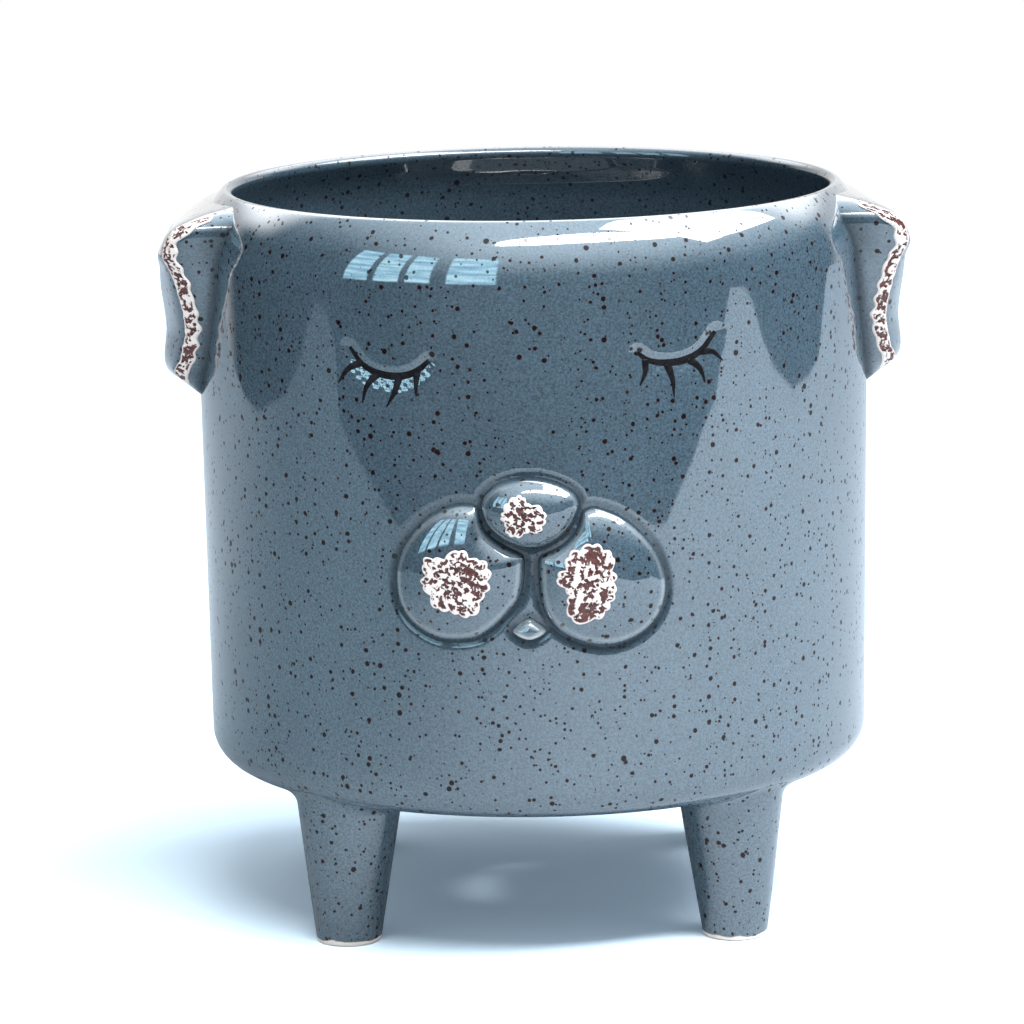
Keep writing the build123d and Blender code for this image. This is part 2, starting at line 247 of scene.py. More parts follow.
class PlanterStage(bpy.types.PropertyGroup):
    """Camera and light."""

    lens: bpy.props.FloatProperty(
        name="Lens", description="Focal length on a 36 mm sensor", subtype="DISTANCE_CAMERA", default=180.34,
    )
    sheet_size: bpy.props.FloatProperty(
        name="Sheet size", description="Size of the white paper sheet, 1 as photographed", default=1.0,
    )
    key: bpy.props.FloatProperty(
        name="Key light", description="Power of the large light", subtype="POWER", unit="POWER", default=16.0,
    )


# Shapes


def arc(middle, radius, start, end, count):
    """Points of an arc in degrees, without its last point."""
    turns = np.radians(np.linspace(start, end, count, endpoint=False))
    return np.stack([middle[0] + radius * np.cos(turns), middle[1] + radius * np.sin(turns)], 1)


def straight(start, end, count):
    """Points of a straight run, without its last point."""
    return np.linspace(start, end, count, endpoint=False)


def smooth_step(low, high, value):
    """Share of the way from low to high, eased at both ends."""
    share = np.clip((value - low) / (high - low), 0, 1)
    return share * share * (3 - 2 * share)


def outer_radius(height):
    """Radius of the pot's outside at heights above the table."""
    height = np.asarray(height, float)
    wall = WALL_TOP[0] - (WALL_TOP[1] - height) * math.tan(math.radians(DRAFT))
    rise = np.clip(height - SHOULDER[1], 0, SHOULDER[2])
    shoulder = SHOULDER[0] + np.sqrt(SHOULDER[2] ** 2 - rise**2)
    return np.where(height > WALL_TOP[1], shoulder, wall)


def on_wall(across, height, proud):
    """Points in metres on the front of the pot, a distance proud of its wall."""
    radius = outer_radius(height)
    turn = np.arcsin(np.clip(across / radius, -1, 1))
    reach = radius + proud
    points = [reach * np.sin(turn), -reach * np.cos(turn), height - STAND]
    return np.stack(points, -1) * MM


def oval_reach(turns, half_width, half_height):
    """Distance from an oval's middle to its edge in each direction."""
    return 1 / np.sqrt((np.cos(turns) / half_width) ** 2 + (np.sin(turns) / half_height) ** 2)


def curve_points(knots, count):
    """Smooth run through a few knots."""
    knots = np.asarray(knots, float)
    padded = np.vstack([2 * knots[0] - knots[1], knots, 2 * knots[-1] - knots[-2]])
    places = np.linspace(0, len(knots) - 1, count)
    index = np.minimum(places.astype(int), len(knots) - 2)
    t = (places - index)[:, None]
    p0, p1, p2, p3 = (padded[index + step] for step in range(4))
    return 0.5 * (2 * p1 + (p2 - p0) * t + (2 * p0 - 5 * p1 + 4 * p2 - p3) * t**2 + (3 * p1 - p0 - 3 * p2 + p3) * t**3)


PAD_TURNS = np.linspace(-math.pi, math.pi, 360, endpoint=False)


def pad_outline(name):
    """Reach of a pad's outline round its middle, a little inside the groove round it."""
    x, z, _, knots = PADS[name]
    line = curve_points(knots + knots[:3], 500)
    turns = np.arctan2(line[:, 1] - z, line[:, 0] - x)
    reach = np.hypot(line[:, 0] - x, line[:, 1] - z) - PAD_GAP
    order = np.argsort(turns)
    reach = np.interp(PAD_TURNS, turns[order], reach[order], period=2 * math.pi)
    kernel = np.exp(-np.linspace(-2, 2, 9) ** 2)
    return np.convolve(np.concatenate([reach[-4:], reach, reach[:4]]), kernel / kernel.sum(), "valid")


PAD_OUTLINES = {name: pad_outline(name) for name in PADS}


def pad_place(name, across, height):
    """Share of the way out to a pad's outline, and the distance beyond it."""
    x, z = PADS[name][:2]
    out = np.hypot(across - x, height - z)
    turns = np.arctan2(height - z, across - x)
    reach = np.interp(turns, PAD_TURNS, PAD_OUTLINES[name], period=2 * math.pi)
    return out / reach, out - reach


def pad_proud(name, share):
    """How far a pad stands proud at a share of the way out to its outline."""
    proud = PADS[name][2]
    dome = np.clip(1 - np.clip(share, 0, 1) ** PAD_POWER, 0, 1) ** (1 / PAD_POWER)
    return PAD_EDGE + (proud - PAD_EDGE) * dome


def lid_place(name, across, height):
    """Height above a lid line, distance from it and share of the way along it."""
    line = curve_points(LIDS[name], 60)
    points = np.stack([across, height], -1)
    away = points[:, None, :] - line[None, :, :]
    distance = np.sqrt((away**2).sum(-1))
    near = distance.argmin(1)
    sideways = away[np.arange(len(points)), near]
    return sideways[:, 1], distance[np.arange(len(points)), near], near / (len(line) - 1)


def wall_relief(across, height):
    """How far the front wall stands proud, and how much pooled glaze and painted shade darken it there."""
    relief = np.zeros_like(across)
    pool = np.zeros_like(across)
    wide, low, high = MUZZLE_AREA
    near = (np.abs(across) < wide) & (height > low) & (height < high)
    if near.any():
        beyond = np.full(near.sum(), 1e3)
        upward = np.zeros(near.sum())
        for name, (x, z, *_) in PADS.items():
            past = pad_place(name, across[near], height[near])[1]
            rise = (height[near] - z) / np.maximum(np.hypot(across[near] - x, height[near] - z), 1e-6)
            upward = np.where(past < beyond, rise, upward)
            beyond = np.minimum(beyond, past)
        out = np.maximum(beyond - PAD_GAP, 0)
        relief[near] -= GROOVE_DEPTH * np.exp(-(out / GROOVE_WIDTH) ** 2)
        # Pooled glaze in the groove round the pads, plus painted shade: darker on the pads' lower sides than above them
        pool[near] += (0.95 - 0.5 * smooth_step(0.1, 0.8, upward)) * np.exp(-(out / POOL_AND_SHADE_WIDTH) ** 3)
    wide, low, high = EYE_AREA
    for name in LIDS:
        middle = np.mean([knot[0] for knot in LIDS[name]])
        near = (np.abs(across - middle) < wide) & (height > low) & (height < high)
        if not near.any():
            continue
        above, away, along = lid_place(name, across[near], height[near])
        arch = np.sqrt(np.sin(math.pi * along))
        fall = LID_BAND + (LID_FALL - LID_BAND) * arch
        upper = np.clip(1 - away / LID_BAND, 0, 1)
        lower = np.clip(1 - away / fall, 0, 1) ** (1 + 0.6 * arch)
        uneven = 0.09 * np.sin(2.7 * across[near] + 1.0) * np.sin(3.1 * height[near] + 0.6 * across[near])
        lower = lower + uneven * arch * smooth_step(0.2, 0.9, away) * (1 - smooth_step(2.2, 3.4, away))
        relief[near] -= LID_DEPTH * (0.75 + 0.25 * arch) * np.where(above > 0, upper, lower)
    return relief, pool


# Meshes


def rolled_grid(name, columns, rows, place, join=2e-6):
    """Grid primitive whose columns run round a form and whose rows run along it, closed and pointing outwards."""
    bpy.ops.object.select_all(action="DESELECT")
    bpy.ops.mesh.primitive_grid_add(x_subdivisions=columns, y_subdivisions=rows, size=2)
    piece = bpy.context.object
    piece.name = name
    piece.data.name = name
    count = len(piece.data.vertices)
    flat = np.empty(count * 3, np.float32)
    piece.data.vertices.foreach_get("co", flat)
    flat = flat.reshape(-1, 3)
    points, values = place((flat[:, 0] + 1) / 2, (flat[:, 1] + 1) / 2)
    piece.data.vertices.foreach_set("co", np.asarray(points, np.float32).ravel())
    for label, numbers in values.items():
        store = piece.data.attributes.new(label, "FLOAT", "POINT")
        store.data.foreach_set("value", np.asarray(numbers, np.float32))
    bpy.ops.object.mode_set(mode="EDIT")
    bpy.ops.mesh.select_all(action="SELECT")
    bpy.ops.mesh.remove_doubles(threshold=join)
    bpy.ops.mesh.dissolve_degenerate(threshold=join)
    bpy.ops.mesh.normals_make_consistent(inside=False)
    bpy.ops.object.mode_set(mode="OBJECT")
    bpy.ops.object.shade_smooth()
    return piece


def capped(piece):
    """Piece with its two open ends filled."""
    bpy.ops.object.mode_set(mode="EDIT")
    bpy.ops.mesh.select_all(action="DESELECT")
    bpy.ops.mesh.select_non_manifold()
    bpy.ops.mesh.fill_holes(sides=0)
    bpy.ops.mesh.select_all(action="SELECT")
    bpy.ops.mesh.normals_make_consistent(inside=False)
    bpy.ops.object.mode_set(mode="OBJECT")
    return piece


def joined(name, pieces):
    """One object of several."""
    bpy.ops.object.select_all(action="DESELECT")
    for piece in pieces:
        piece.select_set(True)
    bpy.context.view_layer.objects.active = pieces[0]
    if len(pieces) > 1:
        bpy.ops.object.join()
    piece = bpy.context.object
    piece.name = name
    piece.data.name = name
    return piece


def finish(piece, node, material):
    """Gives a finished piece its material and lets it stand for its solid."""
    piece.data.materials.clear()
    piece.data.materials.append(material)
    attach(piece, "root")
    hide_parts(node)


def rows_between(knots, steps):
    """Even steps between knots."""
    runs = [np.linspace(a, b, n, endpoint=False) for a, b, n in zip(knots, knots[1:], steps)]
    return np.concatenate(runs + [[knots[-1]]])


def pot_profile():
    """Closed outline of the pot's wall, as radius and height, down the outside and back up.

    Also gives the row at which the outside wall ends and the one at which the inner corner starts.
    """
    crest = CREST[:2]
    fine_top, fine_middle, fine_foot = ((float(outer_radius(height)), height) for height in FINE_HEIGHTS)
    drain_x, drain_r, drain_round = DRAIN
    runs = [
        arc(crest, CREST[2], 90, 45, 5),
        arc(SHOULDER[:2], SHOULDER[2], 45, -DRAFT, 22),
        straight(WALL_TOP, fine_top, 6),
        straight(fine_top, fine_middle, 84),
        straight(fine_middle, fine_foot, 100),
        straight(fine_foot, WALL_FOOT, 8),
        arc(HEEL[:2], HEEL[2], -DRAFT, -90, 10),
        straight((HEEL[0], UNDERSIDE), (drain_x, UNDERSIDE), 4),
        arc((drain_x, UNDERSIDE + drain_round), drain_round, -90, -180, 3),
        straight((drain_r, UNDERSIDE + drain_round), (drain_r, INNER_FLOOR - drain_round), 2),
        arc((drain_x, INNER_FLOOR - drain_round), drain_round, -180, -270, 3),
        straight((drain_x, INNER_FLOOR), (INNER_CORNER[0], INNER_FLOOR), 4),
        arc(INNER_CORNER[:2], INNER_CORNER[2], -90, -DRAFT, 8),
        straight(*INNER_WALL, 8),
        arc(INNER_SHOULDER[:2], INNER_SHOULDER[2], DRAFT, 41.5, 10),
        arc(crest, CREST[2], 221.5, 90, 9),
    ]
    outside_end, inside_start = (sum(len(run) for run in runs[:count]) for count in (6, 12))
    return np.vstack(runs), outside_end, inside_start


def make_pot_body():
    """Hollow pot with the face's grooves and lid creases in its front wall."""
    profile, outside_end, inside_start = pot_profile()
    rows = len(profile)
    turns = np.radians(rows_between(POT_TURNS, POT_COLUMNS))
    columns = len(turns) - 1

    def place(u, v):
        column = np.rint(u * columns).astype(int)
        row = np.rint(v * rows).astype(int) % rows
        turn = turns[column]
        radius, height = profile[row, 0], profile[row, 1]
        across = outer_radius(height) * np.sin(turn)
        front = (row < outside_end) & (np.cos(turn) > 0.7) & (height > MUZZLE_AREA[1]) & (height < EYE_AREA[2] + 1)
        relief = np.zeros_like(radius)
        pool = np.zeros_like(radius)
        relief[front], pool[front] = wall_relief(across[front], height[front])
        reach = radius + relief
        points = np.stack([reach * np.sin(turn), -reach * np.cos(turn), height - STAND], -1) * MM
        # Painted shade: the inside of the pot is darkened with the pooled-glaze colour
        within = (row >= inside_start) & (height > INNER_FLOOR)
        return points, {"pool": np.where(within, INSIDE_PAINTED_SHADE, pool)}

    return rolled_grid("planter_body", columns, rows, place)


def make_pad(name, columns=160, rows=48):
    """Domed pad on the wall, closed underneath."""
    x, z = PADS[name][:2]
    turns = np.linspace(-math.pi, math.pi, columns + 1)
    reach = np.interp(turns, PAD_TURNS, PAD_OUTLINES[name], period=2 * math.pi)
    shares = np.concatenate([np.sin(np.linspace(0, math.pi / 2, rows - 5)), [0.85, 0.6, 0.35, 0.15, 0.0]])

    def place(u, v):
        column = np.rint(u * columns).astype(int)
        row = np.rint(v * (len(shares) - 1)).astype(int)
        under = row > rows - 6
        share = shares[row]
        out = reach[column] * share
        proud = np.where(under, PAD_EDGE - PAD_SINK * (1 - share), pad_proud(name, share))
        # The pad's rim takes the pooled-glaze colour: glaze pooled in the groove, with painted shade
        edge = smooth_step(0.94, 1.0, share)
        # Painted sheen: the chin is lighter, most on its lower edge, and the other pads get a light ring just inside
        # their rim
        if name == "chin":
            low = smooth_step(0.3, -0.6, np.sin(turns[column]))
            sheen = (0.25 + 0.75 * low) * smooth_step(0.25, 0.8, share)
        else:
            sheen = 0.2 * np.exp(-(((share - 0.9) / 0.035) ** 2))
        points = on_wall(x + out * np.cos(turns[column]), z + out * np.sin(turns[column]), proud)
        return points, {"pool": edge, "painted_sheen": np.where(under, 0, sheen * (1 - edge))}

    return rolled_grid("planter_" + name, columns, len(shares) - 1, place)


def bead_field(points, seed):
    """Where the crawled glaze lies in beads (near 0) and where it has drawn back from the ground (near 1)."""
    out = np.empty(len(points))
    for index, point in enumerate(points):
        spot = Vector(point) * 1.12 + Vector((seed, 0, seed))
        spot += noise.noise_vector(spot * 1.1) * 0.45
        near, second = noise.voronoi(spot)[0][:2]
        out[index] = 0.9 * (second - near) + 0.75 * noise.noise(spot * 0.9) + 0.35 * noise.noise(spot * 2.6) - 0.15
    return smooth_step(-0.06, 0.06, out)


def make_patch(name, columns=230, rows=40):
    """Patch of crawled glaze on a pad: white beads round sunken red-brown pits."""
    pad, x, z, half_width, half_height = PATCHES[name]
    seed = 3.0 * (1 + list(PATCHES).index(name))
    turns = np.linspace(-math.pi, math.pi, columns + 1)
    lobes = np.array([
        noise.noise(Vector((1.6 * math.cos(t), 1.6 * math.sin(t), seed))) * 0.34
        + abs(math.sin(8.5 * t + 2.5 * noise.noise(Vector((math.cos(t), math.sin(t), seed))))) * 0.09 - 0.05
        for t in turns
    ])
    reach = oval_reach(turns, half_width, half_height) * (0.97 + lobes)
    shares = np.concatenate([np.linspace(0, 1, rows - 3), [1.0, 0.6, 0.0]])

    def place(u, v):
        column = np.rint(u * columns).astype(int)
        row = np.rint(v * (len(shares) - 1)).astype(int)
        under = row > rows - 4
        share = shares[row]
        out = reach[column] * share
        across = x + out * np.cos(turns[column])
        height = z + out * np.sin(turns[column])
        base = pad_proud(pad, pad_place(pad, across, height)[0])
        rim = smooth_step(0.25, 0.85, reach[column] - out)
        pit = bead_field(np.stack([across, height, np.zeros_like(out)], -1), seed) * rim
        bead = BEAD_HEIGHT * (1 - pit) + GROUND_HEIGHT
        edge = np.sqrt(np.clip((reach[column] - out) / 0.5, 0, 1))
        lift = np.where(under, -PATCH_SINK, bead * edge - 0.12 * (1 - edge))
        return on_wall(across, height, base + lift), {"pit": pit}

    return rolled_grid("planter_" + name, columns, len(shares) - 1, place)


def make_stroke(name, knots, start_width, end_width, bulge=0.0, count=24):
    """Line of black glaze along the wall, tapering, with a rounded top."""
    line = curve_points(knots, count)
    along = np.gradient(line, axis=0)
    along /= np.linalg.norm(along, axis=1)[:, None]
    normal = np.stack([-along[:, 1], along[:, 0]], 1)
    share = np.linspace(0, 1, count)
    width = start_width + (end_width - start_width) * share**1.3 + bulge * np.sin(math.pi * share)
    around = 12

    def place(u, v):
        row = np.rint(v * (count - 1)).astype(int)
        turn = 2 * math.pi * u
        spot = line[row] + normal[row] * (width[row] / 2 * np.cos(turn))[:, None]
        relief = wall_relief(line[row, 0], line[row, 1])[0]
        side = wall_relief(spot[:, 0], spot[:, 1])[0]
        lift = np.where(np.sin(turn) >= 0, 0.14 * np.sin(turn) + 0.03, 0.5 * np.sin(turn))
        return on_wall(spot[:, 0], spot[:, 1], np.maximum(relief, side) * 0.5 + side * 0.5 + lift), {}

    return capped(rolled_grid(name, around, count - 1, place))


def make_eye(name):
    """Lid line and four lashes of one closed eye."""
    strokes = [make_stroke("Lid", LIDS[name], *LID_WIDTHS, count=70)]
    for knots in LASHES[name]:
        strokes.append(make_stroke("Lash", knots, *LASH_WIDTHS))
    return joined("planter_" + name, strokes)


def ear_shares(down):
    """Smooth width, thickness and crown shares at shares of the way down an ear."""
    table = np.array(EAR_SLICES)
    dense = curve_points(table, 400)
    return [np.interp(down, dense[:, 0], dense[:, column]) for column in (1, 2, 3)]


def ear_outline(down, turn):
    """Point of the right ear in millimetres, from a share of the way down and a turn from straight out."""
    width, proud, crown = ear_shares(down)
    spread = np.abs(np.cos(turn)) ** EAR_POWER + np.abs(np.sin(turn)) ** EAR_POWER
    reach = spread ** (-1 / EAR_POWER)
    across = EAR_HALF_WIDTH * width * reach * np.sin(turn)
    out = (EAR_ROOT + EAR_PROUD * proud) * reach * np.cos(turn)
    back = EAR_CROWN * crown * (across / EAR_HALF_WIDTH) ** 2
    return WALL_RADIUS - EAR_ROOT + out - back, across


def ear_height(down, y):
    """Height on an ear, whose front edge sits a little higher than its back one."""
    return EAR_TOP - EAR_LENGTH * down + EAR_LIFT * y * smooth_step(-0.05, 0.15, down)


def ear_in_place(side, x, y, height):
    """Ear points in metres, turned a little to the front as both ears are, on the left or the right."""
    turn = math.radians(EAR_TURN)
    turned_x = x * math.cos(turn) - y * side * math.sin(turn)
    turned_y = x * math.sin(turn) * side + y * math.cos(turn)
    return np.stack([side * turned_x, turned_y, height - STAND], -1) * MM


def make_ear(side):
    """Hanging ear that lies on the wall, its back closed inside the wall."""
    columns, rows = 150, 90
    downs = np.concatenate([np.linspace(0, 0.3, 40, endpoint=False), np.linspace(0.3, 1, rows - 39)])

    def place(u, v):
        row = np.rint(v * rows).astype(int)
        turn = 2 * math.pi * u
        down = downs[row]
        x, y = ear_outline(down, turn)
        height = ear_height(down, -y)
        radius = np.hypot(x, y)
        least = outer_radius(height) - EAR_SINK
        push = np.maximum(radius, least) / np.maximum(radius, 1e-6)
        x, y = x * push, y * push
        gap = np.maximum(radius, least) - outer_radius(height)
        # Painted shade: the ear's front and back faces are darkened with the pooled-glaze colour, and the crevice
        # against the wall holds pooled glaze and painted shade
        shaded_ear_faces = smooth_step(0.80, 0.98, np.abs(np.sin(turn)))
        pool = np.maximum(1 - smooth_step(0.3, 2.6, gap), 0.9 * shaded_ear_faces)
        return ear_in_place(side, x, y, height), {"pool": pool * smooth_step(0.05, 0.12, down)}

    word = "left" if side < 0 else "right"
    return capped(rolled_grid("planter_ear_" + word, columns, rows, place))


def make_ear_edge(side, face):
    """Crawled glaze down one edge of an ear. Face is -1 for the front edge and 1 for the back."""
    columns, rows = 44, 200
    seed = 20.0 + 5 * side + 2 * face
    downs = np.linspace(*EDGE_SPAN, rows + 1)
    turns = np.radians(np.linspace(*EDGE_TURNS, 260))
    corner = np.argmin(np.abs(turns - math.pi / 4))

    def place(u, v):
        row = np.rint(v * rows).astype(int)
        column = np.rint(u * columns).astype(int) % columns
        points = np.zeros((len(u), 3))
        pits = np.zeros(len(u))
        for index in range(rows + 1):
            chosen = row == index
            down = downs[index]
            x, y = ear_outline(np.full(turns.shape, down), turns)
            runs = np.concatenate([[0], np.cumsum(np.hypot(np.diff(x), np.diff(y)))])
            runs -= runs[corner]
            height = EAR_TOP - EAR_LENGTH * down
            ripple = noise.noise(Vector((height * 0.45, seed, 0))) + 0.5 * math.sin(height * 1.9)
            wide = 2.9 + 0.5 * ripple + 3.2 * smooth_step(0.2, 0.08, down) - 1.6 * smooth_step(0.72, 0.86, down)
            narrow = -0.7 - 0.3 * noise.noise(Vector((height * 0.8, seed, 4))) - 3.4 * smooth_step(0.74, 0.83, down)
            ends = min(1.0, 8.0 * min(down - downs[0], downs[-1] - down) / (downs[-1] - downs[0]) + 0.02)
            middle = (wide + narrow) / 2
            half = (wide - narrow) / 2 * math.sqrt(ends)
            there = (column[chosen] / (EDGE_TOP - 1), (columns - column[chosen]) / (columns - EDGE_TOP + 1))
            share = np.where(column[chosen] < EDGE_TOP, *there)
            run = middle + half * (2 * share - 1)
            px = np.interp(run, runs, x)
            py = np.interp(run, runs, y)
            ahead = np.interp(run + 0.1, runs, x) - np.interp(run - 0.1, runs, x)
            aside = np.interp(run + 0.1, runs, y) - np.interp(run - 0.1, runs, y)
            length = np.hypot(ahead, aside)
            out_x, out_y = -aside / length, ahead / length
            flip = np.where(out_x * 0.3 + out_y > 0, 1, -1)
            out_x, out_y = out_x * flip, out_y * flip
            to_edge = half - np.abs(run - middle)
            rim = smooth_step(0.25, 0.95, to_edge) * smooth_step(0.02, 0.12, ends)
            spots = np.stack([run, np.full(run.shape, height), np.zeros(run.shape)], -1)
            pit = bead_field(spots, seed) * rim
            edge = np.sqrt(np.clip(to_edge / 0.5, 0, 1))
            under = column[chosen] >= EDGE_TOP
            lift = np.where(under, -0.3, (0.5 - 0.42 * pit) * edge - 0.1 * (1 - edge))
            beside = face * (py + out_y * lift)
            points[chosen] = ear_in_place(side, px + out_x * lift, beside, ear_height(down, -beside))
            pits[chosen] = pit
        return points, {"pit": pits}

    return capped(rolled_grid("Ear edge", columns, rows, place))


# Materials


def new_group(name, inputs, outputs):
    """Empty node group with named sockets."""
    tree = bpy.data.node_groups.new(name, "ShaderNodeTree")
    for label, kind, value in inputs:
        socket = tree.interface.new_socket(label, in_out="INPUT", socket_type=kind)
        if value is not None:
            socket.default_value = value
    for label, kind in outputs:
        tree.interface.new_socket(label, in_out="OUTPUT", socket_type=kind)
    start = tree.nodes.new("NodeGroupInput")
    end = tree.nodes.new("NodeGroupOutput")
    return tree, start, end


def node(tree, kind, inputs=None, **settings):
    """Node with its settings and inputs, each input a value or a socket to link from."""
    made = tree.nodes.new(kind)
    for label, value in settings.items():
        setattr(made, label, value)
    for label, value in (inputs or {}).items():
        if isinstance(value, bpy.types.NodeSocket):
            tree.links.new(value, made.inputs[label])
        else:
            made.inputs[label].default_value = value
    return made


def math_node(tree, operation, first, second=None, clamp=False):
    """Result of a sum on one or two inputs."""
    inputs = {0: first} if second is None else {0: first, 1: second}
    return node(tree, "ShaderNodeMath", inputs, operation=operation, use_clamp=clamp).outputs[0]


def mix_colour(tree, share, first, second, blend="MIX"):
    """Two colours mixed by a share."""
    made = node(tree, "ShaderNodeMix", {"Factor": share}, data_type="RGBA", blend_type=blend)
    for index, value in ((6, first), (7, second)):
        if isinstance(value, bpy.types.NodeSocket):
            tree.links.new(value, made.inputs[index])
        else:
            made.inputs[index].default_value = value
    return made.outputs[2]


def ramp(tree, value, low, high):
    """Share of the way from low to high, smoothed."""
    inputs = {"Value": value, "From Min": low, "From Max": high}
    return node(tree, "ShaderNodeMapRange", inputs, interpolation_type="SMOOTHSTEP").outputs[0]


def between(tree, value, rise, fall):
    """1 inside a band and 0 outside it, each of its soft ends a pair of values."""
    return math_node(tree, "MULTIPLY", ramp(tree, value, *rise), ramp(tree, value, *fall))


def speck_group():
    """Iron specks of random sizes: a mask for the specks and one for their soft halos."""
    inputs = [
        ("Vector", "NodeSocketVector", None),
        ("Scale", "NodeSocketFloat", 300.0),
        ("Size", "NodeSocketFloat", 0.2),
        ("Amount", "NodeSocketFloat", 0.5),
    ]
    tree, start, end = new_group("Iron specks", inputs, [("Speck", "NodeSocketFloat"), ("Halo", "NodeSocketFloat")])
    wobble = node(tree, "ShaderNodeTexNoise", {"Vector": start.outputs["Vector"], "Scale": 900.0, "Detail": 1.0})
    shake = node(tree, "ShaderNodeVectorMath", {0: wobble.outputs["Color"], 1: (0.5, 0.5, 0.5)}, operation="SUBTRACT")
    small = node(tree, "ShaderNodeVectorMath", {0: shake.outputs[0], "Scale": 0.0003}, operation="SCALE")
    spot = node(tree, "ShaderNodeVectorMath", {0: start.outputs["Vector"], 1: small.outputs[0]}, operation="ADD")
    cells = node(tree, "ShaderNodeTexVoronoi", {"Vector": spot.outputs[0], "Scale": start.outputs["Scale"]})
    parts = node(tree, "ShaderNodeSeparateColor", {"Color": cells.outputs["Color"]})
    chosen = math_node(tree, "LESS_THAN", parts.outputs[0], start.outputs["Amount"])
    size = math_node(tree, "MULTIPLY", parts.outputs[1], parts.outputs[1])
    size = math_node(tree, "ADD", math_node(tree, "MULTIPLY", size, 0.75), 0.3)
    reach = math_node(tree, "MULTIPLY", size, start.outputs["Size"])
    near = math_node(tree, "SUBTRACT", reach, cells.outputs["Distance"])
    speck = math_node(tree, "MULTIPLY", ramp(tree, near, 0.0, 0.05), chosen)
    halo = math_node(tree, "MULTIPLY", ramp(tree, near, -0.06, 0.02), chosen)
    tree.links.new(speck, end.inputs["Speck"])
    tree.links.new(halo, end.inputs["Halo"])
    return tree


def grain_group():
    """Fine light and dark grain in the glaze, with slow cloudy changes."""
    outputs = [("Grain", "NodeSocketFloat"), ("Cloud", "NodeSocketFloat"), ("Height", "NodeSocketFloat")]
    tree, start, end = new_group("Glaze grain", [("Vector", "NodeSocketVector", None)], outputs)
    place = start.outputs["Vector"]
    grain = node(tree, "ShaderNodeTexNoise", {"Vector": place, "Scale": 2100.0, "Detail": 2.0, "Roughness": 0.7})
    cloud = node(tree, "ShaderNodeTexNoise", {"Vector": place, "Scale": 32.0, "Detail": 3.0, "Roughness": 0.5})
    wave = node(tree, "ShaderNodeTexNoise", {"Vector": place, "Scale": 130.0, "Detail": 1.0})
    tree.links.new(grain.outputs[0], end.inputs["Grain"])
    tree.links.new(cloud.outputs[0], end.inputs["Cloud"])
    tree.links.new(wave.outputs[0], end.inputs["Height"])
    return tree


def new_material(name):
    """Material with its node tree and its shader."""
    material = bpy.data.materials.new(name)
    material.use_nodes = True
    tree = material.node_tree
    return material, tree, tree.nodes["Principled BSDF"]


def with_alpha(colour, share=1.0):
    """Colour times a share, with full alpha."""
    return (colour[0] * share, colour[1] * share, colour[2] * share, 1.0)


def glazed_colour(tree, specks, grain, glaze, coordinates):
    """Colour of the speckled glaze, its bump height and where the specks lie."""
    texture = node(tree, "ShaderNodeGroup", {}, node_tree=grain)
    tree.links.new(coordinates, texture.inputs["Vector"])
    light = ramp(tree, texture.outputs["Grain"], 0.32, 0.68)
    colour = mix_colour(tree, light, with_alpha(glaze.body, 0.70), with_alpha(glaze.body, 1.34))
    cloud = ramp(tree, texture.outputs["Cloud"], 0.3, 0.7)
    shade = mix_colour(tree, cloud, (0.93, 0.93, 0.93, 1), (1.06, 1.06, 1.06, 1))
    colour = mix_colour(tree, 1.0, colour, shade, "MULTIPLY")
    marks = 0.0
    for scale, size, amount in SPECK_LAYERS:
        dots = node(tree, "ShaderNodeGroup", {}, node_tree=specks)
        tree.links.new(coordinates, dots.inputs["Vector"])
        dots.inputs["Scale"].default_value = scale
        dots.inputs["Size"].default_value = size
        dots.inputs["Amount"].default_value = amount
        halo = math_node(tree, "MULTIPLY", dots.outputs["Halo"], 0.45)
        colour = mix_colour(tree, halo, colour, (0.055, 0.045, 0.050, 1))
        colour = mix_colour(tree, dots.outputs["Speck"], colour, with_alpha(glaze.speck))
        marks = math_node(tree, "MAXIMUM", dots.outputs["Speck"], marks)
    return colour, texture.outputs["Height"], marks


